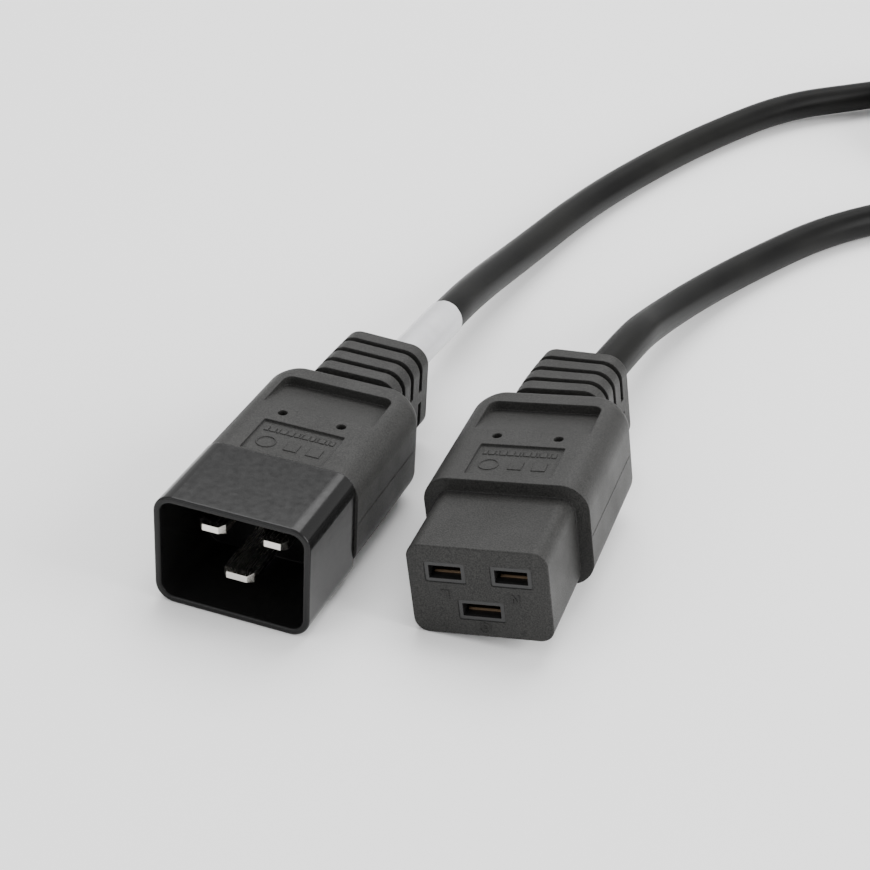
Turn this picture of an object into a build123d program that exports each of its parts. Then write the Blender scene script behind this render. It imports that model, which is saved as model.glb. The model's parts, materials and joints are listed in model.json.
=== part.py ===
"""A 16 A power cord: a C20 plug and a C19 connector, moulded on the two ends of a round three-core cable.

The plug stands on its shroud with its mouth towards -Y.  The connector lies beside it, turned a little
and leaning on one lower edge, as the stiff cable holds it.  +Z is up, the floor is z = 0, and the origin
is below the middle of the two moulded ends.
"""

import os
from math import cos, degrees, pi, radians, sin, tan

from build123d import *

# Cable
CABLE_D = 8.4
CORE_D = 2.9
CONDUCTOR_D = 1.6
CORE_RING_R = 2.0  # from the cable's axis to a core's axis
SHEATH_INSIDE = 8.0  # how far the sheath runs into a moulded body
CORE_SEAT = 5.0  # how far a core is modelled into the sheath
LINE_CORE_ANGLE = 30.0  # above the level, where the line and neutral cores lie round the axis
EARTH_CORE_ANGLE = -90.0
CORE_STRAIGHT_SHARE = 1 / 6  # of the way from crimp to sheath, straight at each end

# Pin layout, the same in both halves of the coupler
PIN_SPACING = 13.0  # line to neutral
EARTH_DROP = 8.0  # from the line and neutral row down to the earth pin

# Flat pins of the plug
LINE_PIN_W = 5.5
EARTH_PIN_W = 6.4
PIN_T = 2.0
LINE_PIN_REACH = 16.0  # out of the shroud's floor
EARTH_PIN_REACH = 18.0
PIN_TIP_L = 1.3
PIN_TIP_NARROWS = 1.05  # on each side of the width
PIN_TIP_THINS = 0.3  # on each side of the thickness

# Shroud of the plug
SHROUD_W = 32.5
SHROUD_H = 24.2
SHROUD_R = 4.0
SHROUD_WALL = 1.4
SHROUD_L = 21.6
SHROUD_DEPTH = 20.5
RIM_R = 0.45
SPIGOT_W = 26.0
SPIGOT_H = 16.4
SPIGOT_R = 3.0
SPIGOT_L = 9.5
SPIGOT_FLANGE_L = 2.0
SPIGOT_FLANGE_OUT = 1.2

# Nose of the connector
NOSE_W = 27.8
NOSE_H = 19.6
NOSE_R = 2.9
NOSE_L = 20.0
NOSE_FRONT_R = 0.3

# Insert inside the nose, with one sleeve for each contact
LINE_SLOT_W = 6.4
EARTH_SLOT_W = 7.5
SLOT_H = 2.8
SLEEVE_WALL = 0.8
SLEEVE_R = 0.4
SLEEVE_SET_BACK = 0.15
INSERT_W = 23.0
INSERT_H = 15.4
INSERT_R = 2.0
INSERT_BLOCK_L = 6.0
INSERT_REAR = 24.0  # the block's rear face, from the nose's front
SLOT_FLOOR = 1.5

# Spring contacts
CONTACT_SET_BACK = 2.2
CONTACT_T = 0.5
CONTACT_SIDE_GAP = 0.4
CONTACT_LEAD_IN = 0.3

# Crimps behind the pins and contacts
CRIMP_D = 3.0
CRIMP_L = 6.5
CRIMP_GRIP = 5.5  # length of bare conductor in the crimp

# Moulded bodies
BODY_W = 33.6
BODY_H = 22.4
BODY_R = 5.5
PLUG_BODY_L = 35.0
CONNECTOR_BODY_L = 37.0
BODY_REAR_R = 4.5  # rounding of the rear corners, seen from above
BODY_REAR_EDGE_R = 1.3  # rounding of the rear top and bottom edges

# Finger grip, sunk into the top and the bottom of a body
GRIP_BAND = 5.0  # from the body's rear to the step
GRIP_DEPTH = 2.1
GRIP_RAMP_L = 12.0
GRIP_W = 24.0
GRIP_CORNER_R = 2.0

# Rating field and core-pin marks on top
FIELD_W = 17.5
FIELD_L = 11.8
FIELD_R = 0.4
FIELD_DEPTH = 0.5
FIELD_FROM_REAR = 22.8
MARK_SPACING = 12.8
MARK_D = 2.0
MARK_DEPTH = 1.6
MARK_FROM_REAR = 19.4

# Strain relief: plates on a core, joined by a spine on each side
PLATE_COUNT = 4
PLATE_W = 19.8
PLATE_H = 20.4
PLATE_R = 4.2
PLATE_T = 3.2
PLATE_GAP = 1.6
FIRST_GAP = 2.2
RELIEF_CORE_W = 13.0
RELIEF_CORE_H = 13.0
RELIEF_CORE_R = 4.5
SPINE_H = 2.8
RELIEF_ABOVE_BASE = 11.7  # its axis above the body's underside

# Where the two ends lie
PLUG_X = -22.55
PLUG_Y = -44.91
PLUG_BEND = 3.0  # degrees that the strain relief gives sideways
CONNECTOR_X = 24.66
CONNECTOR_Y = -32.47
CONNECTOR_TURN = 3.0
CONNECTOR_LEAN = 9.5
CONNECTOR_BEND = 8.0

# Label round the cable, near the plug
LABEL_START = 5.0  # from the strain relief
LABEL_L = 30.0
LABEL_T = 0.2
LABEL_GAP = 0.02

# Coil of the cable's put-away length
COIL_X = 97.9
COIL_Y = 265.4
COIL_OUT_R = 51.1
COIL_IN_R = 30.4
COIL_BASE = 1.0
COIL_H = 17.4
COIL_EDGE_R = 4.0
COIL_STUB = 38.0  # straight start of each lead's turn, clear of the ring at its end
COIL_FIRST_R = 45.1  # axis of the turn where the plug's lead comes in
COIL_FIRST_Z = 5.4
COIL_LAST_R = 46.4  # axis of the turn where the connector's lead leaves
COIL_FIRST_ANGLE = 135.0
COIL_LAST_ANGLE = 300.0
COIL_LAST_Z = 13.75
COIL_LAST_SLOPE = 0.15
TIE_ANGLE = 20.0
TIE_L = 12.0
TIE_T = 0.9
TIE_GAP = 0.05

# Straight runs of the cable's free lengths, next to the plug, the connector and the coil
RUN_FROM_PLUG = 29.0
RUN_FROM_CONNECTOR = 26.0
PLUG_RUN_TO_COIL = 27.0
CONNECTOR_RUN_TO_COIL = 22.0
ROUNDED_SHARE = 0.45  # of the shorter run at a corner, taken up by the corner's arc

FIT = 0.02  # clearance round what is moulded in

os.makedirs("parts", exist_ok=True)


def across(y):
    """The upright plane across a connector at the distance y behind its front: x to the right, z up."""
    return Plane.XZ.offset(-y)


def save(block, label, place):
    """Label a finished piece, put it in its place and write it."""
    block.part.label = label
    piece = block.part.moved(place)
    piece.label = label
    export_step(piece, f"parts/{label}.step")
    return piece


def pin_places(centre_z):
    """Name, x, z and the two widths that depend on the pole, for line, neutral and earth."""
    row_z = centre_z + EARTH_DROP / 2
    return [
        ("line", -PIN_SPACING / 2, row_z, LINE_PIN_W, LINE_SLOT_W),
        ("neutral", PIN_SPACING / 2, row_z, LINE_PIN_W, LINE_SLOT_W),
        ("earth", 0.0, row_z - EARTH_DROP, EARTH_PIN_W, EARTH_SLOT_W),
    ]


# Strain relief

RELIEF_L = FIRST_GAP + PLATE_COUNT * PLATE_T + (PLATE_COUNT - 1) * PLATE_GAP


def bend_radius(bend):
    return RELIEF_L / radians(bend)


def bend_axis(start_y, bend):
    """The upright axis, to the right, that the strain relief curves round."""
    return Axis((bend_radius(bend), start_y, 0), (0, 0, -1))


def relief_plane(start_y, bend, distance):
    """The plane across the strain relief at a distance along its curved axis."""
    turned = radians(bend) * distance / RELIEF_L
    radius = bend_radius(bend)
    origin = (radius - radius * cos(turned), start_y + radius * sin(turned), 0)
    return Plane(origin, x_dir=(cos(turned), -sin(turned), 0), z_dir=(-sin(turned), -cos(turned), 0))


def curve_along(profile, start_y, bend, length):
    """Sweep a profile that stands on relief_plane() along a length of the strain relief's curve."""
    revolve(profile, axis=bend_axis(start_y, bend), revolution_arc=bend * length / RELIEF_L)


def strain_relief(start_y, bend, axis_z):
    """Plates, core and side spines behind a moulded body."""
    with BuildPart() as relief:
        with BuildSketch(relief_plane(start_y, bend, 0)) as core:
            with Locations((0, axis_z)):
                RectangleRounded(RELIEF_CORE_W, RELIEF_CORE_H, RELIEF_CORE_R)
                Rectangle(PLATE_W, SPINE_H)
        curve_along(core.sketch, start_y, bend, RELIEF_L - PLATE_T / 2)
        for index in range(PLATE_COUNT):
            first = FIRST_GAP + index * (PLATE_T + PLATE_GAP)
            with BuildSketch(relief_plane(start_y, bend, first)) as plate:
                with Locations((0, axis_z)):
                    RectangleRounded(PLATE_W, PLATE_H, PLATE_R)
            curve_along(plate.sketch, start_y, bend, PLATE_T)
    return relief


# Cable end inside a moulded body


def sheath_end(rear_y, bend, axis_z, places, oversize=0.0):
    """The sheath from the strain relief's rear face to where it is stripped, with seats for the cores."""
    exit_x, exit_y, _ = relief_plane(rear_y, bend, RELIEF_L).origin
    with BuildPart() as sheath:
        with BuildLine() as path:
            Line((0, rear_y - SHEATH_INSIDE, axis_z), (0, rear_y, axis_z))
            TangentArc((0, rear_y, axis_z), (exit_x, exit_y, axis_z), tangent=(0, 1, 0))
        with BuildSketch(across(rear_y - SHEATH_INSIDE)):
            with Locations((0, axis_z)):
                Circle(CABLE_D / 2 + oversize)
        sweep(path=path.wires()[0])
        if not oversize:
            with BuildSketch(across(rear_y - SHEATH_INSIDE)):
                with Locations(*[core_seat(x, z, axis_z) for _, x, z, _, _ in places]):
                    Circle(CORE_D / 2 + FIT)
            extrude(amount=-CORE_SEAT - FIT, mode=Mode.SUBTRACT)
    return sheath


def core_seat(x, z, axis_z):
    """Where in the cable's section the core of the pole at x, z lies."""
    above = z > axis_z - EARTH_DROP / 4
    turn = radians(LINE_CORE_ANGLE if above else EARTH_CORE_ANGLE)
    side = 1 if x >= 0 else -1
    return (side * CORE_RING_R * cos(turn), axis_z + CORE_RING_R * sin(turn))


def core_path(x, z, front_y, rear_y, axis_z):
    """From the pole's crimp back to the core's seat in the sheath, in two easy bends."""
    seat_x, seat_z = core_seat(x, z, axis_z)
    stripped = rear_y - SHEATH_INSIDE
    straight = (stripped - front_y) * CORE_STRAIGHT_SHARE
    points = [
        (x, front_y, z),
        (x, front_y + straight, z),
        (seat_x, stripped - straight, seat_z),
        (seat_x, stripped + CORE_SEAT, seat_z),
    ]
    return FilletPolyline(*points, radius=straight)


def wire(x, z, front_y, rear_y, axis_z, radius, bore=0.0, bare=0.0):
    """A round core or conductor on the core's path; bare is the length that runs on into the crimp."""
    with BuildPart() as piece:
        with BuildLine() as path:
            core_path(x, z, front_y, rear_y, axis_z)
        with BuildSketch(across(front_y)):
            with Locations((x, z)):
                Circle(radius)
                if bore:
                    Circle(bore, mode=Mode.SUBTRACT)
        sweep(path=path.line)
        if bare:
            with BuildSketch(across(front_y)):
                with Locations((x, z)):
                    Circle(radius)
            extrude(amount=bare)
    return piece


# Moulded body


def rear_sections():
    """Distance before the rear face and inset of width and height, for the rounded rear of a body."""
    steps = 6
    for step in range(steps + 1):
        turn = pi / 2 * step / steps
        before = BODY_REAR_R * (1 - sin(turn))
        narrower = BODY_REAR_R * (1 - cos(turn))
        within = max(0.0, 1 - before / BODY_REAR_EDGE_R)
        lower = BODY_REAR_EDGE_R * (1 - (1 - within**2) ** 0.5)
        yield before, narrower, lower


def grip_hollow(step_y, surface_z, inward):
    """A wedge with a steep step at the rear, rounded at its corners, and a long ramp to the front."""
    with BuildPart() as hollow:
        with BuildSketch(Plane.YZ) as wedge:
            with BuildLine():
                Polyline(
                    (step_y, surface_z - inward),
                    (step_y, surface_z + inward * GRIP_DEPTH),
                    (step_y - GRIP_RAMP_L, surface_z),
                    (step_y - GRIP_RAMP_L, surface_z - inward),
                    close=True,
                )
            make_face()
        extrude(wedge.sketch, amount=GRIP_W / 2, both=True)
        with BuildSketch(Plane.XY.offset(surface_z)) as outline:
            with Locations((0, step_y - GRIP_RAMP_L)):
                RectangleRounded(GRIP_W, 2 * GRIP_RAMP_L, GRIP_CORNER_R)
        extrude(outline.sketch, amount=2 * GRIP_DEPTH, both=True, mode=Mode.INTERSECT)
    return hollow


def moulded_body(front_y, length, base_z):
    """A rounded block with rounded rear corners, finger grips, rating field and core-pin marks."""
    rear_y = front_y + length
    middle_z = base_z + BODY_H / 2
    with BuildPart() as body:
        with BuildSketch(across(front_y)):
            with Locations((0, middle_z)):
                RectangleRounded(BODY_W, BODY_H, BODY_R)
        extrude(amount=-(length - BODY_REAR_R))
        for before, narrower, lower in rear_sections():
            with BuildSketch(across(rear_y - before)):
                with Locations((0, middle_z)):
                    RectangleRounded(BODY_W - 2 * narrower, BODY_H - 2 * lower, BODY_R - lower)
        loft()

        for surface_z, inward in ((base_z + BODY_H, -1), (base_z, 1)):
            add(grip_hollow(rear_y - GRIP_BAND, surface_z, inward).part, mode=Mode.SUBTRACT)

        # rating field and the two small marks behind it, on the top only
        top = Plane.XY.offset(base_z + BODY_H)
        with BuildSketch(top):
            with Locations((0, rear_y - FIELD_FROM_REAR - FIELD_L / 2)):
                RectangleRounded(FIELD_W, FIELD_L, FIELD_R)
        extrude(amount=-FIELD_DEPTH, mode=Mode.SUBTRACT)
        with BuildSketch(top):
            with Locations((0, rear_y - MARK_FROM_REAR)):
                with GridLocations(MARK_SPACING, 0, 2, 1):
                    Circle(MARK_D / 2)
        extrude(amount=-MARK_DEPTH, mode=Mode.SUBTRACT)
    return body


# Plug

PLUG_PLACE = Location((PLUG_X, PLUG_Y, 0))
PLUG_REAR = SHROUD_L + PLUG_BODY_L
PLUG_BASE = SHROUD_H - BODY_H
PLUG_AXIS_Z = PLUG_BASE + RELIEF_ABOVE_BASE
PLUG_PINS = pin_places(SHROUD_H / 2)
SPIGOT_REAR = SHROUD_L + SPIGOT_L
PLUG_CRIMP = SPIGOT_REAR + CRIMP_L

with BuildPart() as plug_shroud:
    middle = SHROUD_H / 2
    with BuildSketch(across(0)):
        with Locations((0, middle)):
            RectangleRounded(SHROUD_W, SHROUD_H, SHROUD_R)
    extrude(amount=-SHROUD_L)
    fillet(plug_shroud.faces().sort_by(Axis.Y)[0].edges(), RIM_R)
    with BuildSketch(across(SHROUD_L)):
        with Locations((0, middle)):
            RectangleRounded(SPIGOT_W, SPIGOT_H, SPIGOT_R)
    extrude(amount=-SPIGOT_L)
    with BuildSketch(across(SPIGOT_REAR - SPIGOT_FLANGE_L)):
        with Locations((0, middle)):
            RectangleRounded(
                SPIGOT_W + 2 * SPIGOT_FLANGE_OUT,
                SPIGOT_H + 2 * SPIGOT_FLANGE_OUT,
                SPIGOT_R + SPIGOT_FLANGE_OUT,
            )
    extrude(amount=-SPIGOT_FLANGE_L)
    with BuildSketch(across(0)):
        with Locations((0, middle)):
            RectangleRounded(
                SHROUD_W - 2 * SHROUD_WALL, SHROUD_H - 2 * SHROUD_WALL, SHROUD_R - SHROUD_WALL
            )
    extrude(amount=-SHROUD_DEPTH, mode=Mode.SUBTRACT)
    fillet(plug_shroud.faces().sort_by(Axis.Y)[0].inner_wires()[0].edges(), RIM_R)
    for _, x, z, width, _ in PLUG_PINS:
        with BuildSketch(across(SHROUD_DEPTH)):
            with Locations((x, z)):
                Rectangle(width + 2 * FIT, PIN_T + 2 * FIT)
        extrude(amount=-(SPIGOT_REAR - SHROUD_DEPTH), mode=Mode.SUBTRACT)


def flat_pin(x, z, width, reach):
    """A flat pin with a narrowed tip, a blade through the shroud's base and a crimp behind it."""
    tip_y = SHROUD_DEPTH - reach
    with BuildPart() as pin:
        with BuildSketch(across(tip_y)):
            with Locations((x, z)):
                Rectangle(width - 2 * PIN_TIP_NARROWS, PIN_T - 2 * PIN_TIP_THINS)
        with BuildSketch(across(tip_y + PIN_TIP_L)):
            with Locations((x, z)):
                Rectangle(width, PIN_T)
        loft(ruled=True)
        with BuildSketch(across(tip_y + PIN_TIP_L)):
            with Locations((x, z)):
                Rectangle(width, PIN_T)
        extrude(amount=-(SPIGOT_REAR - tip_y - PIN_TIP_L))
        with BuildSketch(across(SPIGOT_REAR)):
            with Locations((x, z)):
                Circle(CRIMP_D / 2)
        extrude(amount=-CRIMP_L)
        with BuildSketch(across(PLUG_CRIMP)):
            with Locations((x, z)):
                Circle(CONDUCTOR_D / 2 + FIT)
        extrude(amount=CRIMP_GRIP + FIT, mode=Mode.SUBTRACT)
    return pin


plug_moulded_in = []
for pole, x, z, width, _ in PLUG_PINS:
    reach = EARTH_PIN_REACH if pole == "earth" else LINE_PIN_REACH
    save(flat_pin(x, z, width, reach), f"plug_{pole}_pin", PLUG_PLACE)
    core = wire(x, z, PLUG_CRIMP, PLUG_REAR, PLUG_AXIS_Z, CORE_D / 2, bore=CONDUCTOR_D / 2 + FIT)
    save(core, f"plug_{pole}_core", PLUG_PLACE)
    conductor = wire(x, z, PLUG_CRIMP, PLUG_REAR, PLUG_AXIS_Z, CONDUCTOR_D / 2, bare=CRIMP_GRIP)
    save(conductor, f"plug_{pole}_conductor", PLUG_PLACE)
    plug_moulded_in.append(wire(x, z, PLUG_CRIMP, PLUG_REAR, PLUG_AXIS_Z, CORE_D / 2 + FIT))

plug_cable_end = sheath_end(PLUG_REAR, PLUG_BEND, PLUG_AXIS_Z, PLUG_PINS)
save(plug_cable_end, "plug_cable_end", PLUG_PLACE)
plug_moulded_in.append(sheath_end(PLUG_REAR, PLUG_BEND, PLUG_AXIS_Z, PLUG_PINS, oversize=FIT))

with BuildPart() as plug_overmould:
    add(moulded_body(SHROUD_L, PLUG_BODY_L, PLUG_BASE).part)
    add(strain_relief(PLUG_REAR, PLUG_BEND, PLUG_AXIS_Z).part)
    with BuildSketch(across(SHROUD_L)):
        with Locations((0, SHROUD_H / 2)):
            RectangleRounded(SPIGOT_W + 2 * FIT, SPIGOT_H + 2 * FIT, SPIGOT_R + FIT)
    extrude(amount=-(SPIGOT_L + FIT), mode=Mode.SUBTRACT)
    with BuildSketch(across(SPIGOT_REAR - SPIGOT_FLANGE_L - FIT)):
        with Locations((0, SHROUD_H / 2)):
            RectangleRounded(
                SPIGOT_W + 2 * SPIGOT_FLANGE_OUT + 2 * FIT,
                SPIGOT_H + 2 * SPIGOT_FLANGE_OUT + 2 * FIT,
                SPIGOT_R + SPIGOT_FLANGE_OUT + FIT,
            )
    extrude(amount=-(SPIGOT_FLANGE_L + 2 * FIT), mode=Mode.SUBTRACT)
    with BuildSketch(across(SPIGOT_REAR)):
        for _, x, z, _, _ in PLUG_PINS:
            with Locations((x, z)):
                Circle(CRIMP_D / 2 + FIT)
    extrude(amount=-(CRIMP_L + FIT), mode=Mode.SUBTRACT)
    for tool in plug_moulded_in:
        add(tool.part, mode=Mode.SUBTRACT)
save(plug_overmould, "plug_overmould", PLUG_PLACE)
save(plug_shroud, "plug_shroud", PLUG_PLACE)


# Connector

LEAN = radians(CONNECTOR_LEAN)
CONNECTOR_LIFT = (BODY_W / 2 - BODY_R) * sin(LEAN) + BODY_R * (1 - cos(LEAN))
CONNECTOR_PLACE = Location((CONNECTOR_X, CONNECTOR_Y, CONNECTOR_LIFT), (0, 0, CONNECTOR_TURN)) * Location(
    (0, 0, 0), (0, -CONNECTOR_LEAN, 0)
)
CONNECTOR_REAR = NOSE_L + CONNECTOR_BODY_L
CONNECTOR_AXIS_Z = RELIEF_ABOVE_BASE
SLOTS = pin_places(NOSE_H / 2)
SLOT_END = INSERT_REAR - SLOT_FLOOR
CONNECTOR_CRIMP = INSERT_REAR + CRIMP_L


def insert_solid(oversize=0.0):
    """A block with three sleeves that reach forward to the nose's face."""
    with BuildPart() as insert:
        with BuildSketch(across(INSERT_REAR - INSERT_BLOCK_L - oversize)):
            with Locations((0, NOSE_H / 2)):
                RectangleRounded(INSERT_W + 2 * oversize, INSERT_H + 2 * oversize, INSERT_R + oversize)
        extrude(amount=-(INSERT_BLOCK_L + 2 * oversize))
        with BuildSketch(across(0 if oversize else SLEEVE_SET_BACK)) as sleeves:
            for _, x, z, _, width in SLOTS:
                with Locations((x, z)):
                    wide = width + 2 * SLEEVE_WALL + 2 * oversize
                    high = SLOT_H + 2 * SLEEVE_WALL + 2 * oversize
                    RectangleRounded(wide, high, SLEEVE_R + oversize)
        extrude(sleeves.sketch, amount=-(INSERT_REAR - INSERT_BLOCK_L))
    return insert


with BuildPart() as connector_insert:
    add(insert_solid().part)
    with BuildSketch(across(0)) as slots:
        for _, x, z, _, width in SLOTS:
            with Locations((x, z)):
                Rectangle(width, SLOT_H)
    extrude(slots.sketch, amount=-SLOT_END, mode=Mode.SUBTRACT)
    with BuildSketch(across(SLOT_END)) as tails:
        for _, x, z, _, _ in SLOTS:
            with Locations((x, z)):
                Circle(CRIMP_D / 2 + FIT)
    extrude(tails.sketch, amount=-SLOT_FLOOR, mode=Mode.SUBTRACT)


def spring_contact(x, z, slot_width):
    """Two leaves in a slot, joined at the rear, with a crimp behind them."""
    leaf_w = slot_width - 2 * CONTACT_SIDE_GAP
    with BuildPart() as contact:
        with BuildSketch(across(CONTACT_SET_BACK)) as channel:
            with Locations((x, z)):
                Rectangle(leaf_w, SLOT_H - 2 * FIT)
        extrude(channel.sketch, amount=-(SLOT_END - CONTACT_SET_BACK))
        with BuildSketch(across(CONTACT_SET_BACK)) as gap:
            with Locations((x, z)):
                Rectangle(slot_width, SLOT_H - 2 * CONTACT_T)
        extrude(gap.sketch, amount=-(SLOT_END - CONTACT_T - CONTACT_SET_BACK), mode=Mode.SUBTRACT)
        mouth = contact.faces().sort_by(Axis.Y)[:2]
        inner = []
        for face in mouth:
            inner.append(face.edges().filter_by(Axis.X).sort_by(lambda edge: abs(edge.center().Z - z))[0])
        chamfer(inner, CONTACT_LEAD_IN)
        with BuildSketch(across(SLOT_END)) as crimp:
            with Locations((x, z)):
                Circle(CRIMP_D / 2)
        extrude(crimp.sketch, amount=-(CONNECTOR_CRIMP - SLOT_END))
        with BuildSketch(across(CONNECTOR_CRIMP)) as bore:
            with Locations((x, z)):
                Circle(CONDUCTOR_D / 2 + FIT)
        extrude(bore.sketch, amount=CRIMP_GRIP + FIT, mode=Mode.SUBTRACT)
    return contact


connector_moulded_in = []
for pole, x, z, _, width in SLOTS:
    save(spring_contact(x, z, width), f"connector_{pole}_contact", CONNECTOR_PLACE)
    course = (x, z, CONNECTOR_CRIMP, CONNECTOR_REAR, CONNECTOR_AXIS_Z)
    core = wire(*course, CORE_D / 2, bore=CONDUCTOR_D / 2 + FIT)
    save(core, f"connector_{pole}_core", CONNECTOR_PLACE)
    conductor = wire(*course, CONDUCTOR_D / 2, bare=CRIMP_GRIP)
    save(conductor, f"connector_{pole}_conductor", CONNECTOR_PLACE)
    connector_moulded_in.append(wire(*course, CORE_D / 2 + FIT))

connector_cable_end = sheath_end(CONNECTOR_REAR, CONNECTOR_BEND, CONNECTOR_AXIS_Z, SLOTS)
save(connector_cable_end, "connector_cable_end", CONNECTOR_PLACE)
connector_moulded_in.append(
    sheath_end(CONNECTOR_REAR, CONNECTOR_BEND, CONNECTOR_AXIS_Z, SLOTS, oversize=FIT)
)
connector_moulded_in.append(insert_solid(oversize=FIT))

with BuildPart() as connector_overmould:
    with BuildSketch(across(0)):
        with Locations((0, NOSE_H / 2)):
            RectangleRounded(NOSE_W, NOSE_H, NOSE_R)
    extrude(amount=-NOSE_L)
    fillet(connector_overmould.faces().sort_by(Axis.Y)[0].edges(), NOSE_FRONT_R)
    add(moulded_body(NOSE_L, CONNECTOR_BODY_L, 0).part)
    add(strain_relief(CONNECTOR_REAR, CONNECTOR_BEND, CONNECTOR_AXIS_Z).part)
    with BuildSketch(across(INSERT_REAR)):
        for _, x, z, _, _ in SLOTS:
            with Locations((x, z)):
                Circle(CRIMP_D / 2 + FIT)
    extrude(amount=-(CRIMP_L + FIT), mode=Mode.SUBTRACT)
    for tool in connector_moulded_in:
        add(tool.part, mode=Mode.SUBTRACT)
save(connector_overmould, "connector_overmould", CONNECTOR_PLACE)
save(connector_insert, "connector_insert", CONNECTOR_PLACE)


# Cable


def cable_exit(place, rear_y, bend, axis_z):
    """Where the cable's axis leaves a strain relief, and its direction there."""
    radius = bend_radius(bend)
    turned = radians(bend)
    local = (radius * (1 - cos(turned)), rear_y + radius * sin(turned), axis_z)
    plane = Plane(local, x_dir=(cos(turned), -sin(turned), 0), z_dir=(sin(turned), cos(turned), 0))
    placed = Plane(place * plane.location)
    return placed.origin, placed.z_dir


def ray(start, direction, distance):
    return start + direction * distance


def lead(points):
    """A cable tube on straight runs and tangent arcs, each arc as large as its two runs allow."""
    corners = [Vector(point) for point in points]
    radii = []
    for before, corner, after in zip(corners, corners[1:], corners[2:]):
        turn = radians((corner - before).get_angle(after - corner))
        shorter = min((corner - before).length, (after - corner).length)
        radii.append(ROUNDED_SHARE * shorter / tan(turn / 2))
    print("radii", [round(radius, 1) for radius in radii])
    with BuildPart() as tube:
        with BuildLine():
            path = FilletPolyline(*corners, radius=radii)
        with BuildSketch(Plane(path @ 0, z_dir=path % 0)) as section:
            Circle(CABLE_D / 2)
        sweep(section.sketch, path=path)
    filled = tube.part.volume / section.sketch.area / path.length
    print("length", round(path.length, 2), "volume over section and length", round(filled, 5))
    return tube, path


plug_exit, plug_heading = cable_exit(PLUG_PLACE, PLUG_REAR, PLUG_BEND, PLUG_AXIS_Z)
connector_exit, connector_heading = cable_exit(
    CONNECTOR_PLACE, CONNECTOR_REAR, CONNECTOR_BEND, CONNECTOR_AXIS_Z
)

# Coil: a ring of the turns' outer shape, with a straight start for each lead
first_turn = radians(COIL_FIRST_ANGLE)
last_turn = radians(COIL_LAST_ANGLE)
coil_centre = Vector(COIL_X, COIL_Y, 0)
outward_first = Vector(cos(first_turn), sin(first_turn), 0)
outward_last = Vector(cos(last_turn), sin(last_turn), 0)
coil_first = coil_centre + outward_first * COIL_FIRST_R + Vector(0, 0, COIL_FIRST_Z)
coil_last = coil_centre + outward_last * COIL_LAST_R + Vector(0, 0, COIL_LAST_Z)
# the turns run clockwise from the plug's lead, so the last one is met against its run
into_first = Vector(sin(first_turn), -cos(first_turn), 0)
into_last = Vector(-sin(last_turn), cos(last_turn), COIL_LAST_SLOPE).normalized()
plug_lead_end = coil_first - into_first * COIL_STUB
connector_lead_end = coil_last - into_last * COIL_STUB
print("plug exit", plug_exit, plug_heading, "coil start", plug_lead_end)
print("connector exit", connector_exit, connector_heading, "coil end", connector_lead_end)

plug_lead, plug_lead_line = lead(
    [
        plug_exit,
        ray(plug_exit, plug_heading, RUN_FROM_PLUG),
        (-21.3, 87.2, 9.9),
        (-19.2, 118.2, 6.3),
        (-14.8, 157.2, 4.3),
        (-6.0, 190.5, 4.3),
        (5.0, 222.0, 4.3),
        ray(plug_lead_end, into_first, -PLUG_RUN_TO_COIL),
        plug_lead_end,
    ]
)
save(plug_lead, "cable_plug_lead", Location())

connector_lead, connector_lead_line = lead(
    [
        connector_exit,
        ray(connector_exit, connector_heading, RUN_FROM_CONNECTOR),
        (22.7, 92.2, 8.9),
        (27.6, 118.2, 5.6),
        (35.5, 142.2, 4.3),
        (49.1, 172.1, 4.3),
        ray(connector_lead_end, into_last, -CONNECTOR_RUN_TO_COIL),
        connector_lead_end,
    ]
)
save(connector_lead, "cable_connector_lead", Location())

with BuildPart() as cable_coil:
    with BuildSketch(Plane.XZ.offset(-COIL_Y)):
        with Locations((COIL_X + (COIL_OUT_R + COIL_IN_R) / 2, COIL_BASE + COIL_H / 2)):
            RectangleRounded(COIL_OUT_R - COIL_IN_R, COIL_H, COIL_EDGE_R)
    revolve(axis=Axis((COIL_X, COIL_Y, 0), (0, 0, 1)))
    for end, inward in ((plug_lead_end, into_first), (connector_lead_end, into_last)):
        with BuildSketch(Plane(end, z_dir=inward)):
            Circle(CABLE_D / 2)
        extrude(amount=COIL_STUB)
save(cable_coil, "cable_coil", Location())

with BuildPart() as coil_tie:
    half = TIE_L / COIL_OUT_R / 2
    start = Plane(
        (COIL_X, COIL_Y, 0),
        x_dir=(cos(radians(TIE_ANGLE) - half), sin(radians(TIE_ANGLE) - half), 0),
        z_dir=(sin(radians(TIE_ANGLE) - half), -cos(radians(TIE_ANGLE) - half), 0),
    )
    with BuildSketch(start):
        with Locations(((COIL_OUT_R + COIL_IN_R) / 2, COIL_BASE + COIL_H / 2)):
            band = COIL_OUT_R - COIL_IN_R + 2 * TIE_GAP
            RectangleRounded(band + 2 * TIE_T, COIL_H + 2 * TIE_GAP + 2 * TIE_T, COIL_EDGE_R + TIE_T)
            RectangleRounded(band, COIL_H + 2 * TIE_GAP, COIL_EDGE_R, mode=Mode.SUBTRACT)
    revolve(axis=Axis((COIL_X, COIL_Y, 0), (0, 0, 1)), revolution_arc=degrees(2 * half))
save(coil_tie, "coil_tie", Location())

with BuildPart() as cable_label:
    whole = plug_lead_line.length
    wrapped = plug_lead_line.trim(LABEL_START / whole, (LABEL_START + LABEL_L) / whole)
    with BuildSketch(Plane(wrapped @ 0, z_dir=wrapped % 0)) as ring:
        Circle(CABLE_D / 2 + LABEL_GAP + LABEL_T)
        Circle(CABLE_D / 2 + LABEL_GAP, mode=Mode.SUBTRACT)
    sweep(ring.sketch, path=wrapped)
save(cable_label, "cable_label", Location())
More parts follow.
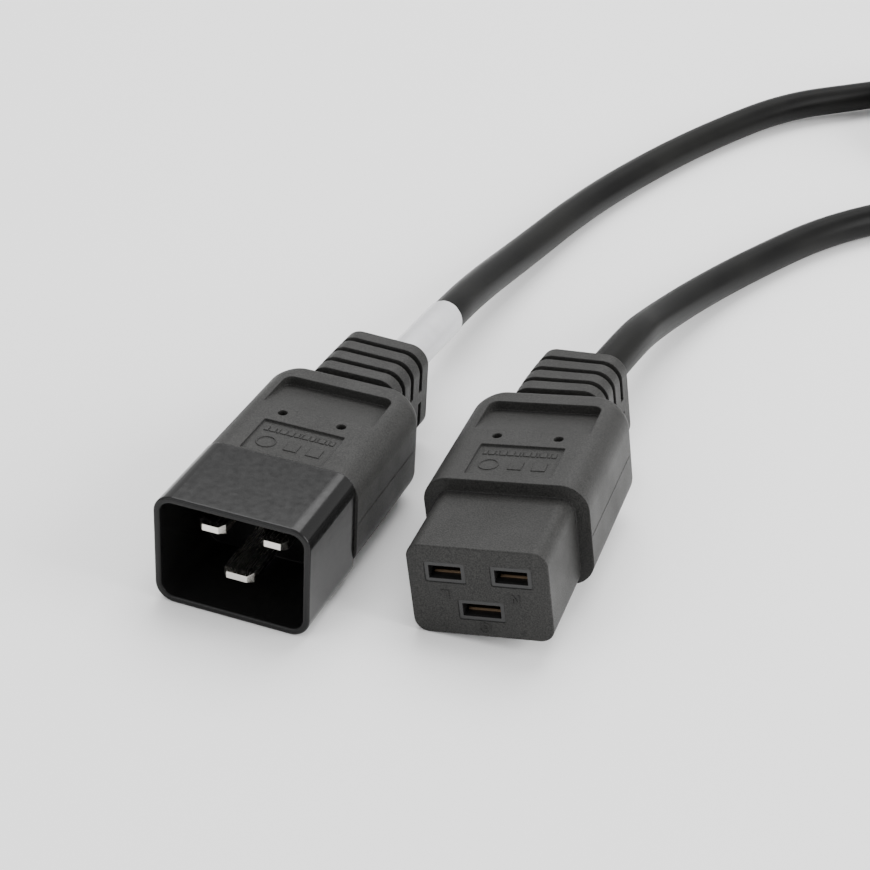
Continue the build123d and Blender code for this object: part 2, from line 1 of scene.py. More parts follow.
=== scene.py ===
# %% [markdown]
# The object is a mains power cord for rack equipment.  A shrouded flat-pin plug lies on the left, a
# slotted connector on the right, and a round black cable joins them.  The rigid pieces come from a packed
# model that must not be moved, so this script gives them their finishes and adds what only a picture
# needs: the cable as one smooth curve, the label wrapped round it, small moulded marks, a floor, lights
# and a camera.

# %% Load the frame
import json
import math

import bmesh
import bpy
from mathutils import Matrix, Vector


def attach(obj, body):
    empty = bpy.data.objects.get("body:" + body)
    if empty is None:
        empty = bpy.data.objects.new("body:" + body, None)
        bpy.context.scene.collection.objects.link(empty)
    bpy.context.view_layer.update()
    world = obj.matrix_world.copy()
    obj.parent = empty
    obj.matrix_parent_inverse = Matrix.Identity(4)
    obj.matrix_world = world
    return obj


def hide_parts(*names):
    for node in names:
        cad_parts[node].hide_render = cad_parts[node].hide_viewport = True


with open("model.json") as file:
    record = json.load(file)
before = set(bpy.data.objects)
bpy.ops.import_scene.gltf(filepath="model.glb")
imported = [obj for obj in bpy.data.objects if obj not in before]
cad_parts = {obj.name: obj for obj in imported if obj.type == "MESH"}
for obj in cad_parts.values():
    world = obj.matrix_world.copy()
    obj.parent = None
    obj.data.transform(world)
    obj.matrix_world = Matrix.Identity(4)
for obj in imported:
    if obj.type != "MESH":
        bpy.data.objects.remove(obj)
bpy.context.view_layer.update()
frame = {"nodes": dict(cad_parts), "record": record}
nodes = frame["nodes"]
print("pieces in the frame:", len(nodes))

# %% [markdown]
# The camera comes first, because every later choice is judged through it.  A product photographer works
# with a long lens from above and in front, here a little under half a metre away.  The place, aim and
# lens were worked out so that both ends fall where the picture has them.  The camera leans a little, so
# it is built from its aim and a roll about the line of sight.

# %% Camera
CAMERA_AT = Vector((0.11283, -0.31984, 0.23007))
LINE_OF_SIGHT = Vector((-0.28129, 0.80508, -0.52223))
CAMERA_ROLL = math.radians(3.22)
LENS_MM = 81.86
SENSOR_MM = 36.0
NEAREST_SEEN = 0.01
UPWARD = Vector((0, 0, 1))


def make_camera():
    data = bpy.data.cameras.new("camera")
    data.lens = LENS_MM
    data.sensor_width = SENSOR_MM
    data.clip_start = NEAREST_SEEN
    camera = bpy.data.objects.new("camera", data)
    bpy.context.scene.collection.objects.link(camera)
    forward = LINE_OF_SIGHT.normalized()
    level = forward.cross(UPWARD).normalized()
    upright = level.cross(forward)
    right = level * math.cos(CAMERA_ROLL) + upright * math.sin(CAMERA_ROLL)
    up = right.cross(forward)
    turn = Matrix((right, up, -forward)).transposed()
    camera.matrix_world = Matrix.Translation(CAMERA_AT) @ turn.to_4x4()
    bpy.context.scene.camera = camera
    return camera


camera = make_camera()
print("camera at", [round(c, 3) for c in camera.location])

# %% [markdown]
# A mains cable is a fixed length of something springy.  It leaves each strain relief straight, sinks to
# the table in a long slope, and the length that the picture does not show is wound into a tied coil.  The
# slopes are given as the corners of a route, because no formula tells how a cable happens to lie.

# %% From each end towards the coil
CABLE_D = 0.0084
PLUG_EXIT = Vector((-0.02203, 0.03148, 0.0135))
PLUG_HEADING = Vector((0.0523, 0.9986, 0.0))
CONNECTOR_EXIT = Vector((0.02007, 0.04413, 0.01371))
CONNECTOR_HEADING = Vector((0.0853, 0.9961, 0.0230))
RUN_FROM_PLUG = 0.029
RUN_FROM_CONNECTOR = 0.026

plug_side = [
    PLUG_EXIT,
    PLUG_EXIT + RUN_FROM_PLUG * PLUG_HEADING,
    Vector((-0.0213, 0.0872, 0.0099)),
    Vector((-0.0192, 0.1182, 0.0063)),
    Vector((-0.0148, 0.1572, 0.0043)),
    Vector((-0.0060, 0.1905, 0.0043)),
    Vector((0.0050, 0.2220, 0.0043)),
]
connector_side = [
    CONNECTOR_EXIT,
    CONNECTOR_EXIT + RUN_FROM_CONNECTOR * CONNECTOR_HEADING,
    Vector((0.0227, 0.0922, 0.0089)),
    Vector((0.0276, 0.1182, 0.0056)),
    Vector((0.0355, 0.1422, 0.0043)),
    Vector((0.0491, 0.1721, 0.0043)),
]
print("corners set by hand:", len(plug_side) + len(connector_side))

# %% [markdown]
# A hand winds the spare length in a spiral: a little more than one turn inwards on the table, then
# outwards again on top of it.  A coil is regular, so its points come from a formula.  The radius follows
# a hyperbola, which is a V with a rounded tip, and the height climbs from layer to layer where the spiral
# turns back.

# %% Turns of the coil
COIL_CENTRE = Vector((0.0979, 0.2654, 0.0))
COIL_INNER_R = 0.0355
TURN_PITCH = 0.0087
TURN_BACK_ROUNDING = 0.1
LOWER_Z = 0.0054
UPPER_Z = 0.01375
FIRST_ANGLE = 135.0
LAST_ANGLE = 300.0
TURNS = 2 + (FIRST_ANGLE + 360 - LAST_ANGLE) / 360
CLIMB_AT = 1.2
CLIMB_LASTS = 0.3
POINTS_PER_TURN = 14


def coil_point(turn):
    """A point of the line after so many turns: clockwise, inwards below and outwards above."""
    angle = math.radians(FIRST_ANGLE - 360 * turn)
    turned_back = math.hypot(turn - CLIMB_AT, TURN_BACK_ROUNDING) - TURN_BACK_ROUNDING
    radius = COIL_INNER_R + TURN_PITCH * turned_back
    climbed = min(1.0, max(0.0, 0.5 + (turn - CLIMB_AT) / CLIMB_LASTS))
    height = LOWER_Z + (UPPER_Z - LOWER_Z) * climbed * climbed * (3 - 2 * climbed)
    return COIL_CENTRE + Vector((radius * math.cos(angle), radius * math.sin(angle), height))


steps = round(TURNS * POINTS_PER_TURN)
turns = [coil_point(TURNS * step / steps) for step in range(steps + 1)]
print("turns:", round(TURNS, 2), "in", len(turns), "points")

# %% [markdown]
# A stiff cable cannot jump from a slope into a turn.  It runs into the first turn and out of the last one
# straight, along the tangent.  The last turn lies on the upper layer, so the way out also slopes down.

# %% Into the coil and out of it
STUB = 0.038
PLUG_RUN_TO_COIL = 0.027
CONNECTOR_RUN_TO_COIL = 0.022
LAST_SLOPE = 0.15


def tangent(degrees, slope=0.0):
    """The clockwise direction of travel at an angle round the coil."""
    angle = math.radians(degrees)
    return Vector((math.sin(angle), -math.cos(angle), -slope)).normalized()


into = tangent(FIRST_ANGLE)
away = tangent(LAST_ANGLE, LAST_SLOPE)
way_in = [turns[0] - into * reach for reach in (STUB + PLUG_RUN_TO_COIL, STUB, STUB / 2)]
way_out = [turns[-1] + away * reach for reach in (STUB / 2, STUB, STUB + CONNECTOR_RUN_TO_COIL)]
route = [*plug_side, *way_in, *turns, *way_out, *reversed(connector_side)]
print("points on the whole route:", len(route))

# %% [markdown]
# A curve of the NURBS kind suits a cable.  A chain of cylinders would show its joints, and a Bezier curve
# needs two handles at every point, while here a few control points give one line with no kinks.  The
# curve's own round bevel makes the thickness.

# %% The cable
CABLE_ROUNDNESS = 6
STEPS_BETWEEN_POINTS = 8


def curve_through(name, points, radius):
    """One smooth open NURBS curve; the order is set last, because it is lost if set before the points."""
    data = bpy.data.curves.new(name, "CURVE")
    data.dimensions = "3D"
    data.bevel_depth = radius
    data.bevel_resolution = CABLE_ROUNDNESS
    data.resolution_u = STEPS_BETWEEN_POINTS
    data.use_fill_caps = True
    spline = data.splines.new("NURBS")
    spline.points.add(len(points) - 1)
    for target, point in zip(spline.points, points):
        target.co = (*point, 1.0)
    spline.order_u = 3
    spline.use_endpoint_u = True
    piece = bpy.data.objects.new(name, data)
    bpy.context.scene.collection.objects.link(piece)
    return piece


cable = curve_through("cable", route, CABLE_D / 2)
print("the curve holds", len(cable.data.splines[0].points), "points")

# %% [markdown]
# A cable is sold by its length.  With its thickness switched off the curve turns into a string of points.
# The same string later guides the label.

# %% The cable's own line


def line_of(piece):
    """The points of a curve's own line, read with its thickness switched off."""
    depth = piece.data.bevel_depth
    caps = piece.data.use_fill_caps
    piece.data.bevel_depth = 0
    piece.data.use_fill_caps = False
    bpy.context.view_layer.update()
    evaluated = piece.evaluated_get(bpy.context.evaluated_depsgraph_get())
    mesh = bpy.data.meshes.new_from_object(evaluated)
    points = [vertex.co.copy() for vertex in mesh.vertices]
    bpy.data.meshes.remove(mesh)
    piece.data.bevel_depth = depth
    piece.data.use_fill_caps = caps
    return points


cable_line = line_of(cable)

# %% [markdown]
# Every finish is a small node tree on the Principled shader.  The first helper makes the material.  The
# second adds noise in the piece's own metres, so that a grain has its real size on every piece.

# %% Material and noise


def new_finish(name, colour, roughness, **sockets):
    """A Principled material; a constant goes straight on the shader's own socket."""
    material = bpy.data.materials.new(name)
    material.use_nodes = True
    shader = material.node_tree.nodes["Principled BSDF"]
    shader.inputs["Base Color"].default_value = (*colour, 1.0)
    shader.inputs["Roughness"].default_value = roughness
    for socket, value in sockets.items():
        shader.inputs[socket.replace("_", " ")].default_value = value
    return material, material.node_tree, shader


def noise_of(tree, grain, detail=2.0, stretch=(1.0, 1.0, 1.0)):
    """Noise whose lumps are about one grain across, in metres."""
    place = tree.nodes.new("ShaderNodeTexCoord")
    mapping = tree.nodes.new("ShaderNodeMapping")
    mapping.inputs["Scale"].default_value = stretch
    noise = tree.nodes.new("ShaderNodeTexNoise")
    noise.inputs["Scale"].default_value = 1.0 / grain
    noise.inputs["Detail"].default_value = detail
    tree.links.new(place.outputs["Object"], mapping.inputs["Vector"])
    tree.links.new(mapping.outputs["Vector"], noise.inputs["Vector"])
    return noise.outputs["Fac"]


# %% [markdown]
# A noise does three jobs on a real surface: it makes the sheen uneven, it mixes two shades, and it raises
# the surface.  Each job is one helper.  The noise stays near one half, so only its middle part is
# stretched out.  The last helper can also round sharp edges in the shading, as no moulded edge is quite
# sharp.

# %% What a noise does
SHEEN_NOISE = (0.3, 0.7)
SHADE_NOISE = (0.32, 0.68)
EDGE_SAMPLES = 6


def spread(tree, value, low, high):
    """Map noise, which stays near one half, to the range low to high."""
    ramp = tree.nodes.new("ShaderNodeMapRange")
    ramp.inputs["From Min"].default_value = SHEEN_NOISE[0]
    ramp.inputs["From Max"].default_value = SHEEN_NOISE[1]
    ramp.inputs["To Min"].default_value = low
    ramp.inputs["To Max"].default_value = high
    tree.links.new(value, ramp.inputs["Value"])
    return ramp.outputs["Result"]


def shades(tree, value, dark, light):
    """Blend two colours by a value."""
    ramp = tree.nodes.new("ShaderNodeValToRGB")
    for element, position, colour in zip(ramp.color_ramp.elements, SHADE_NOISE, (dark, light)):
        element.position = position
        element.color = (*colour, 1.0)
    tree.links.new(value, ramp.inputs["Fac"])
    return ramp.outputs["Color"]


def bumps(tree, shader, value, height, softened=0.0):
    """Raise the surface by a value, in metres; softened rounds the edges under it."""
    bump = tree.nodes.new("ShaderNodeBump")
    bump.inputs["Distance"].default_value = height
    tree.links.new(value, bump.inputs["Height"])
    if softened:
        bevel = tree.nodes.new("ShaderNodeBevel")
        bevel.samples = EDGE_SAMPLES
        bevel.inputs["Radius"].default_value = softened
        tree.links.new(bevel.outputs["Normal"], bump.inputs["Normal"])
    tree.links.new(bump.outputs["Normal"], shader.inputs["Normal"])


# %% [markdown]
# The two overmoulds are soft PVC from a spark-eroded mould.  Such a mould leaves a fine sandy grain that
# glints where the light grazes it.  The grain is about a quarter of a millimetre across; it lifts the
# surface a little and mixes two greys, and a broad cloud makes the sheen uneven.

# %% Overmould finish
OVERMOULD_DARK = (0.011, 0.011, 0.0107)
OVERMOULD_LIGHT = (0.032, 0.0315, 0.030)


def overmould_finish():
    material, tree, shader = new_finish("spark_eroded_pvc", OVERMOULD_LIGHT, 0.5, Specular_IOR_Level=0.2)
    grain = noise_of(tree, grain=0.00028, detail=3.0)
    cloud = noise_of(tree, grain=0.012)
    tree.links.new(shades(tree, grain, OVERMOULD_DARK, OVERMOULD_LIGHT), shader.inputs["Base Color"])
    tree.links.new(spread(tree, cloud, low=0.46, high=0.58), shader.inputs["Roughness"])
    bumps(tree, shader, grain, height=0.00006, softened=0.0004)
    return material


finishes = {"overmould_plastic": overmould_finish()}
print("overmould:", finishes["overmould_plastic"].name)

# %% [markdown]
# The shroud is hard plastic from a polished mould.  Its colour is almost nothing; what the eye sees is
# the reflection of the lights.  A slow, very shallow waviness keeps the reflections from looking like
# glass.

# %% Shroud finish
SHROUD_BLACK = (0.007, 0.007, 0.007)


def shroud_finish():
    material, tree, shader = new_finish("polished_shroud", SHROUD_BLACK, 0.16, Specular_IOR_Level=0.2)
    ripple = noise_of(tree, grain=0.006)
    haze = noise_of(tree, grain=0.0015, detail=4.0)
    tree.links.new(spread(tree, haze, low=0.13, high=0.22), shader.inputs["Roughness"])
    bumps(tree, shader, ripple, height=0.000001, softened=0.0003)
    return material


finishes["shroud_plastic"] = shroud_finish()
print("shroud:", finishes["shroud_plastic"].name)

# %% [markdown]
# The pins are nickel-plated brass, stamped and then tumbled, so they are bright with faint lines along
# their length.  The noise for the lines is squeezed across the pin, which leaves it long along the pin.
# The contacts deep in the slots are spring bronze and the conductors are bare copper, made the same way.

# %% Metal finishes
LINES_SQUEEZED = (40.0, 1.0, 40.0)
POLISHED_SHARE = 0.7
DULL_SHARE = 1.4


def metal_finish(name, colour, roughness):
    material, tree, shader = new_finish(name, colour, roughness, Metallic=1.0)
    lines = noise_of(tree, grain=0.004, detail=3.0, stretch=LINES_SQUEEZED)
    uneven = spread(tree, lines, low=roughness * POLISHED_SHARE, high=roughness * DULL_SHARE)
    tree.links.new(uneven, shader.inputs["Roughness"])
    bumps(tree, shader, lines, height=0.000006, softened=0.00015)
    return material


finishes["pin_metal"] = metal_finish("nickel_plate", (0.74, 0.72, 0.67), roughness=0.22)
finishes["contact_metal"] = metal_finish("spring_bronze", (0.10, 0.07, 0.045), roughness=0.45)
finishes["conductor_copper"] = metal_finish("bare_copper", (0.72, 0.36, 0.20), roughness=0.35)
print("metals:", [name for name in finishes if "metal" in name or "copper" in name])

# %% [markdown]
# The sheath is extruded PVC: black, smooth, with a soft sheen.  It is drawn over three twisted cores, so
# its shade and sheen drift slowly along the cable, and a fine noise lifts the surface by a hundredth of a
# millimetre.

# %% Sheath finish
SHEATH_BLACK = (0.008, 0.008, 0.008)
SHEATH_DARK = (0.005, 0.005, 0.005)
SHEATH_LIGHT = (0.009, 0.009, 0.0085)


def sheath_finish():
    material, tree, shader = new_finish("extruded_sheath", SHEATH_BLACK, 0.42, Specular_IOR_Level=0.07)
    slow = noise_of(tree, grain=0.02)
    fine = noise_of(tree, grain=0.0006, detail=3.0)
    tree.links.new(spread(tree, slow, low=0.34, high=0.44), shader.inputs["Roughness"])
    tree.links.new(shades(tree, slow, SHEATH_DARK, SHEATH_LIGHT), shader.inputs["Base Color"])
    bumps(tree, shader, fine, height=0.000012)
    return material


finishes["cable_sheath"] = sheath_finish()
print("sheath:", finishes["cable_sheath"].name)

# %% [markdown]
# The insert, the tie and the insulation of the three cores are plain moulded plastic.  One helper with a
# faint mottle serves them all.  Brown, blue and green are the usual colours of the cores, and though the
# overmoulds hide them, they show when the cord is taken apart.

# %% Plain plastics
MOTTLE_SHARE = 0.85


def moulded_finish(name, colour, roughness):
    """Plain moulded plastic with a faint mottle."""
    material, tree, shader = new_finish(name, colour, roughness)
    mottle = noise_of(tree, grain=0.001, detail=3.0)
    darker = tuple(c * MOTTLE_SHARE for c in colour)
    tree.links.new(shades(tree, mottle, darker, colour), shader.inputs["Base Color"])
    bumps(tree, shader, mottle, height=0.00001, softened=0.0002)
    return material


finishes["insert_plastic"] = moulded_finish("insert_plastic", (0.010, 0.010, 0.010), roughness=0.45)
finishes["line_core_plastic"] = moulded_finish("brown_core", (0.12, 0.045, 0.02), roughness=0.4)
finishes["neutral_core_plastic"] = moulded_finish("blue_core", (0.02, 0.09, 0.36), roughness=0.4)
finishes["earth_core_plastic"] = moulded_finish("green_core", (0.16, 0.36, 0.03), roughness=0.4)
finishes["tie_plastic"] = moulded_finish("tie_plastic", (0.02, 0.02, 0.02), roughness=0.5)
print("plastics:", [name for name in finishes if "plastic" in name])

# %% [markdown]
# The label is coated film.  Under strong light a true white would vanish against the white floor, so the
# film is a shade darker than white, and the thin coat gives its edge a highlight.

# %% Label finish
FILM_WHITE = (0.55, 0.55, 0.565)
FILM_DARK = (0.52, 0.52, 0.535)
FILM_LIGHT = (0.57, 0.57, 0.585)


def label_finish():
    material, tree, shader = new_finish("label_film", FILM_WHITE, 0.35, Coat_Weight=0.3)
    mottle = noise_of(tree, grain=0.004)
    tree.links.new(shades(tree, mottle, FILM_DARK, FILM_LIGHT), shader.inputs["Base Color"])
    bumps(tree, shader, mottle, height=0.00008)
    return material


finishes["label_film"] = label_finish()
print("finishes:", len(finishes))

# %% [markdown]
# The record says which slot of finish each node of the frame needs, so all pieces are dressed by one
# loop.

# %% Dress the pieces
slot_of = {row["node"]: row["material_slot"] for row in frame["record"]["subparts"]}
for name, node in nodes.items():
    node.data.materials.clear()
    node.data.materials.append(finishes[slot_of[name]])
print("slots in use:", len(set(slot_of.values())))

# %% [markdown]
# Three plain solids stand for the cable in the frame: a lead from each end and the coil.  The curve takes
# their place, so it gets the sheath as its finish, rides on the body that they belong to, and the three are
# hidden.

# %% Dress the cable
cable.data.materials.append(finishes["cable_sheath"])
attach(cable, "root")
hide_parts("cable_plug_lead", "cable_connector_lead", "cable_coil")
print("material of the cable:", cable.data.materials[0].name)

# %% [markdown]
# The label is a strip of white film wrapped once round the cable and lapped on itself.  A straight tube
# would stand off where the cable bends.  So rings are set square to the cable's own line, an inner and an
# outer one at each step, and bands of faces join them.  A small step in the outer radius makes the lap.

# %% Rings of the label
LABEL_START = 0.0072
LABEL_L = 0.0262
LABEL_RINGS = 31
LABEL_SIDES = 48
LABEL_INNER_R = CABLE_D / 2 + 0.00003
LABEL_OUTER_R = CABLE_D / 2 + 0.00022
LAP_STEP = 0.00010
LAP_FROM = 0.25 * math.pi
LAP_TO = 0.55 * math.pi


def along(points, distance):
    """The point and direction at a distance along a line of points."""
    for a, b in zip(points, points[1:]):
        step = (b - a).length
        if distance <= step:
            return a.lerp(b, distance / step), (b - a).normalized()
        distance -= step
    return points[-1], (points[-1] - points[-2]).normalized()


def label_ring(shape, centre, ahead, radius, lap_step):
    """A ring of points square to the cable, which stands out a step further where the film laps."""
    side = ahead.cross(UPWARD).normalized()
    up = side.cross(ahead)
    ring = []
    for step in range(LABEL_SIDES):
        angle = 2 * math.pi * step / LABEL_SIDES
        lap = lap_step if LAP_FROM < angle < LAP_TO else 0.0
        spoke = math.cos(angle) * side + math.sin(angle) * up
        ring.append(shape.verts.new(centre + (radius + lap) * spoke))
    return ring


def join_rings(shape, first, second):
    """A band of faces between two rings with as many points."""
    for index in range(len(first)):
        after = (index + 1) % len(first)
        shape.faces.new((first[index], second[index], second[after], first[after]))


print("label from", LABEL_START, "to", LABEL_START + LABEL_L, "metres along the cable")

# %% [markdown]
# Film is smooth but its cut ends are sharp.  Shading follows that: smooth everywhere, but for edges where
# two faces meet at a steep angle.

# %% Label
SHARP_FROM = math.radians(40)


def smooth_by_angle(mesh):
    """Smooth shading, with hard edges kept where two faces meet at a steep angle."""
    mesh.shade_smooth()
    shape = bmesh.new()
    shape.from_mesh(mesh)
    for edge in shape.edges:
        edge.smooth = len(edge.link_faces) == 2 and edge.calc_face_angle() < SHARP_FROM
    shape.to_mesh(mesh)
    shape.free()


def label_piece():
    shape = bmesh.new()
    inner = []
    outer = []
    for index in range(LABEL_RINGS):
        centre, ahead = along(cable_line, LABEL_START + LABEL_L * index / (LABEL_RINGS - 1))
        inner.append(label_ring(shape, centre, ahead, LABEL_INNER_R, 0.0))
        outer.append(label_ring(shape, centre, ahead, LABEL_OUTER_R, LAP_STEP))
    for rings in (inner, outer):
        for first, second in zip(rings, rings[1:]):
            join_rings(shape, first, second)
    join_rings(shape, inner[0], outer[0])
    join_rings(shape, inner[-1], outer[-1])
    bmesh.ops.recalc_face_normals(shape, faces=shape.faces)
    mesh = bpy.data.meshes.new("label")
    shape.to_mesh(mesh)
    shape.free()
    smooth_by_angle(mesh)
    piece = bpy.data.objects.new("label", mesh)
    bpy.context.scene.collection.objects.link(piece)
    return piece


label = label_piece()
label.data.materials.append(finishes["label_film"])
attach(label, "root")
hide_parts("cable_label")
print("label faces:", len(label.data.polygons))

# %% [markdown]

# %% [markdown]
# The moulded marks are drawn in each end's own directions, with the origin at the foot of its front, because
# sizes are easy to read there.  One matrix for each end then sets them in the scene.  The connector lies
# turned by three degrees and leans to one side, so its matrix holds two rotations.

# %% Where the two ends lie
PLUG_PLACE = Matrix.Translation((-0.02255, -0.04491, 0.0))
CONNECTOR_PLACE = (
    Matrix.Translation((0.02466, -0.03247, 0.00194))
    @ Matrix.Rotation(math.radians(3.0), 4, "Z")
    @ Matrix.Rotation(math.radians(-9.5), 4, "Y")
)
RIGHTWARD = Vector((1, 0, 0))
REARWARD = Vector((0, 1, 0))
print("connector's front at", [round(c, 4) for c in CONNECTOR_PLACE.translation])

# %% [markdown]
# A mould leaves small raised marks on what comes out of it.  They are too fine to carve with a boolean,
# so each is a flat outline lifted a seventh of a millimetre from its surface, with walls that sink a
# little into it.  The same helper raises any outline.

# %% Raised outlines
MARK_LIFT = 0.00014
MARK_SUNK = 0.00003


def mould(shape, outline, out):
    """Raise a flat outline from a surface whose outward direction is out."""
    low = [shape.verts.new(point - out * MARK_SUNK) for point in outline]
    high = [shape.verts.new(point + out * MARK_LIFT) for point in outline]
    shape.faces.new(high)
    for index in range(len(outline)):
        after = (index + 1) % len(outline)
        shape.faces.new((low[index], low[after], high[after], high[index]))


def box_outline(centre, right, up, wide, high):
    w = wide / 2
    h = high / 2
    return [centre + u * right + v * up for u, v in ((-w, -h), (w, -h), (w, h), (-w, h))]


# %% [markdown]
# A round ring is hollow, so it needs a wall outside and one inside.  It is four circles joined by bands:
# up the outer wall, across the top, and down the inner wall.

# %% Raised ring
STROKE = 0.00034
RING_SIDES = 28


def mould_ring(shape, centre, right, up, radius, out):
    """Raise a round ring, one stroke wide."""
    inner = radius - STROKE
    circles = []
    for reach, lift in ((radius, -MARK_SUNK), (radius, MARK_LIFT), (inner, MARK_LIFT), (inner, -MARK_SUNK)):
        circle = []
        for side in range(RING_SIDES):
            turn = 2 * math.pi * side / RING_SIDES
            spoke = math.cos(turn) * right + math.sin(turn) * up
            circle.append(shape.verts.new(centre + reach * spoke + lift * out))
        circles.append(circle)
    for a, b in zip(circles, circles[1:]):
        for side in range(RING_SIDES):
            after = (side + 1) % RING_SIDES
            shape.faces.new((a[side], a[after], b[after], b[side]))


# %% [markdown]
# Marks that come from the same mould face become one piece.  They are the same plastic as the body under
# them, so only their edges show, as on the real moulding.

# %% Marks as one piece


def finished_marks(name, shape, place):
    """One piece of the overmould's own plastic from the raised outlines, set on its end."""
    bmesh.ops.recalc_face_normals(shape, faces=shape.faces)
    mesh = bpy.data.meshes.new(name)
    shape.to_mesh(mesh)
    shape.free()
    mesh.transform(place)
    piece = bpy.data.objects.new(name, mesh)
    bpy.context.scene.collection.objects.link(piece)
    mesh.materials.append(finishes["overmould_plastic"])
    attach(piece, "root")
    print(name, "faces:", len(mesh.polygons))
    return piece


# %% [markdown]
# The connector's face says which slot is which, with L for line and N for neutral.  The letters stand
# upside down here, because the end lies that way up.  They are drawn from their own height, width and
# stroke, which takes far fewer faces than turning a font into a mesh.

# %% Letters
LETTER_HALF_W = 0.0008
LETTER_HALF_H = 0.0010
DIAGONAL_AT = 0.00045
LINE_MARK = (-0.00684, 0.0090)
NEUTRAL_MARK = (0.0070, 0.0091)


def letter_l():
    w, h, s = LETTER_HALF_W, LETTER_HALF_H, STROKE
    return [(-w, -h), (w, -h), (w, s - h), (s - w, s - h), (s - w, h), (-w, h)]


def letter_n():
    w, h, s, d = LETTER_HALF_W, LETTER_HALF_H, STROKE, DIAGONAL_AT
    half = [(-w, -h), (s - w, -h), (s - w, d), (w - s, -h), (w, -h)]
    return half + [(-u, -v) for u, v in half]


print("corners of L and N:", len(letter_l()), len(letter_n()))

# %% [markdown]
# The sign for earth is a stem on three bars that get shorter, inside a ring.  The stem and the longest
# bar are one outline, so that no two faces lie in each other.

# %% Earth sign
EARTH_MARK = (0.0003, 0.0020)
EARTH_RING_R = 0.00125
EARTH_STROKE = 0.0002
EARTH_STEM_TOP = 0.00075
EARTH_TOP_HALF = 0.00045
EARTH_BARS = ((0.00030, -0.00035), (0.00015, -0.00070))


def earth_stem():
    """The longest bar of the earth sign, with the stem that stands on it."""
    half, thick, top, stem = EARTH_TOP_HALF, EARTH_STROKE, EARTH_STEM_TOP, EARTH_STROKE / 2
    right_half = [(half, 0.0), (half, thick), (stem, thick), (stem, top)]
    return [(-half, 0.0), *right_half, (-stem, top), (-stem, thick), (-half, thick)]


def earth_bar(half, low):
    high = low + EARTH_STROKE
    return [(-half, low), (half, low), (half, high), (-half, high)]


print("corners of the stem:", len(earth_stem()))

# %% [markdown]
# All three marks sit on one face, so they are one piece.  Turning an outline half round is no more than
# changing the sign of both its directions.

# %% Marks of the three poles


def upside_down(place, outline):
    """An outline on the connector's face, turned half round about its place."""
    x, z = place
    return [Vector((x - u, 0, z - v)) for u, v in outline]


def pole_marks():
    """L, N and earth on the connector's face."""
    shape = bmesh.new()
    out = -REARWARD
    mould(shape, upside_down(LINE_MARK, letter_l()), out)
    mould(shape, upside_down(NEUTRAL_MARK, letter_n()), out)
    mould(shape, upside_down(EARTH_MARK, earth_stem()), out)
    for half, low in EARTH_BARS:
        mould(shape, upside_down(EARTH_MARK, earth_bar(half, low)), out)
    ring_centre = Vector((EARTH_MARK[0], 0, EARTH_MARK[1]))
    mould_ring(shape, ring_centre, RIGHTWARD, UPWARD, EARTH_RING_R, out)
    return finished_marks("pole_marks", shape, CONNECTOR_PLACE)


pole_marks()

# %% [markdown]
# The sunk field on top of each body gets a row of blank bars, a ring and two pads, in the moulding's own
# plastic.  Bars of four widths are set one after another by a loop, which keeps the gaps between them
# even.

# %% Blank marks in the fields
WIDE = 0.0013
MIDDLE = 0.0009
NARROW = 0.0006
THIN = 0.0004
BARS = (MIDDLE, WIDE, NARROW, WIDE, WIDE, MIDDLE, THIN, WIDE, MIDDLE, THIN, WIDE, NARROW, MIDDLE)
BARS_FROM_X = -0.0075
BAR_GAP = 0.00025
BAR_L = 0.0016
UPPER_ROW_Y = 0.0033
LOWER_ROW_Y = -0.0013
FIELD_RING_X = -0.0051
FIELD_RING_R = 0.0021
PADS_X = (0.0005, 0.0053)
PAD_W = 0.0028
PAD_L = 0.0030


def field_marks(name, place, middle_y, floor_z):
    """Blank bars, a ring and two pads in a rating field."""
    shape = bmesh.new()
    left = BARS_FROM_X
    for wide in BARS:
        centre = Vector((left + wide / 2, middle_y + UPPER_ROW_Y, floor_z))
        mould(shape, box_outline(centre, RIGHTWARD, REARWARD, wide, BAR_L), UPWARD)
        left += wide + BAR_GAP
    ring_centre = Vector((FIELD_RING_X, middle_y + LOWER_ROW_Y, floor_z))
    mould_ring(shape, ring_centre, RIGHTWARD, REARWARD, FIELD_RING_R, UPWARD)
    for x in PADS_X:
        centre = Vector((x, middle_y + LOWER_ROW_Y, floor_z))
        mould(shape, box_outline(centre, RIGHTWARD, REARWARD, PAD_W, PAD_L), UPWARD)
    return finished_marks(name, shape, place)


field_marks("plug_field_marks", PLUG_PLACE, middle_y=0.0279, floor_z=0.0237)
field_marks("connector_field_marks", CONNECTOR_PLACE, middle_y=0.0283, floor_z=0.0219)

# %% [markdown]
# A seam runs along both sides of a body, where the two halves of the mould meet.  It is a thread of
# flash, much finer than the marks, so the same lift is used at less than half its height.

# %% Seams
BODY_HALF_W = 0.0168
FLASH_W = 0.00016
FLASH_SHARE = 0.4


def seam(name, place, from_y, to_y, height):
    """The mould's parting line, as a fine raised flash on both sides of a body."""
    shape = bmesh.new()
    for side in (-1, 1):
        centre = Vector((side * BODY_HALF_W, (from_y + to_y) / 2, height))
        outline = box_outline(centre, REARWARD, UPWARD, to_y - from_y, FLASH_W)
        mould(shape, outline, side * FLASH_SHARE * RIGHTWARD)
    return finished_marks(name, shape, place)


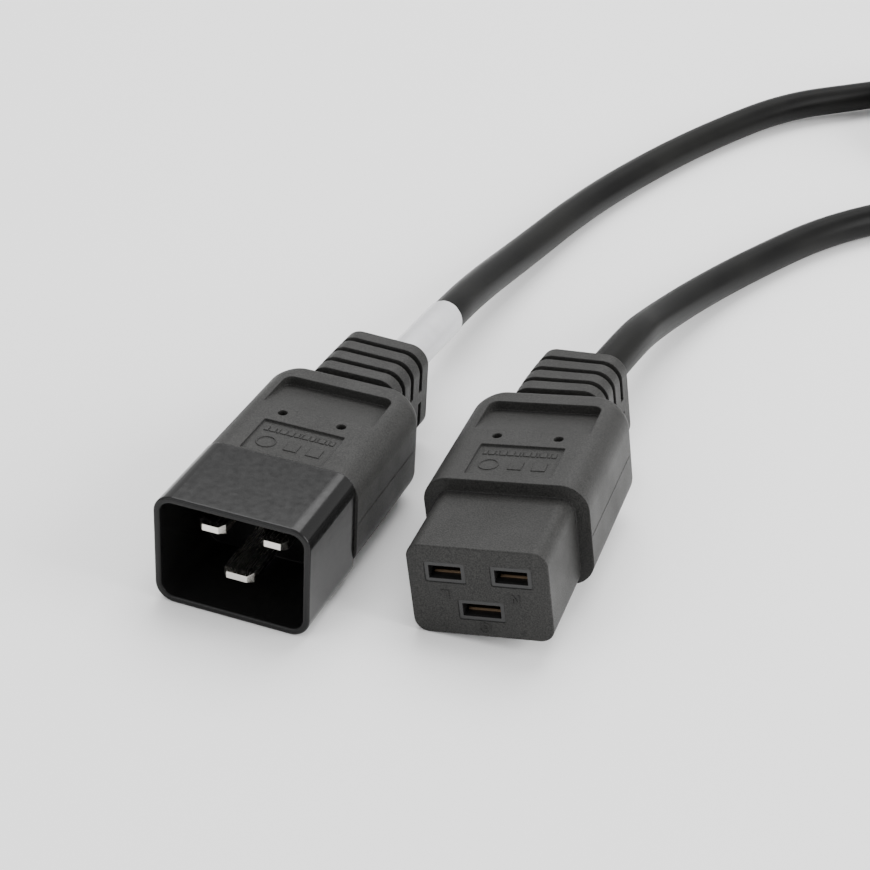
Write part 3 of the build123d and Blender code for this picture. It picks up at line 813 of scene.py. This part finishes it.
seam("plug_seam", PLUG_PLACE, from_y=0.0220, to_y=0.0515, height=0.0130)
seam("connector_seam", CONNECTOR_PLACE, from_y=0.0206, to_y=0.0520, height=0.0112)

# %% [markdown]
# The floor is a wide white board, as on a product table.  It is big and pale, so that only a soft shadow
# under the cord tells the eye where it lies.

# %% Floor
FLOOR_HALF = 3.0
FLOOR_WHITE = (0.96, 0.96, 0.96)


def make_floor():
    mesh = bpy.data.meshes.new("floor")
    h = FLOOR_HALF
    mesh.from_pydata([(-h, -h, 0), (h, -h, 0), (h, h, 0), (-h, h, 0)], [], [(0, 1, 2, 3)])
    floor = bpy.data.objects.new("floor", mesh)
    bpy.context.scene.collection.objects.link(floor)
    material = new_finish("white_board", FLOOR_WHITE, 0.9)[0]
    mesh.materials.append(material)
    return floor


floor = make_floor()
print("floor:", round(floor.dimensions.x, 2), "m wide")

# %% [markdown]
# The light is that of a light tent: it comes from everywhere, and soft boxes add a direction.  The large
# one overhead shines on the tops, the one on the right draws the right-hand walls, and a weak one in
# front on the left opens the shadows.  Area lights are used because a small lamp would give hard shadows.

# %% Lights
TENT_WHITE = (1.0, 1.0, 1.0, 1.0)
TENT_STRENGTH = 1.05


def softbox(name, place, size, power):
    """A square light at a place, turned to the origin."""
    data = bpy.data.lights.new(name, "AREA")
    data.shape = "SQUARE"
    data.size = size
    data.energy = power
    light = bpy.data.objects.new(name, data)
    bpy.context.scene.collection.objects.link(light)
    light.location = place
    light.rotation_euler = (-Vector(place)).to_track_quat("-Z", "Y").to_euler()
    return light


lights = [
    softbox("overhead_box", place=(-0.1, 0.5, 0.9), size=0.8, power=10.0),
    softbox("right_box", place=(0.9, 0.1, 0.45), size=0.6, power=10.0),
    softbox("front_fill", place=(-0.5, -0.8, 0.5), size=0.6, power=2.0),
]
world = bpy.data.worlds.new("tent")
world.use_nodes = True
background = world.node_tree.nodes["Background"]
background.inputs["Color"].default_value = TENT_WHITE
background.inputs["Strength"].default_value = TENT_STRENGTH
bpy.context.scene.world = world
print("lights:", [light.name for light in lights])
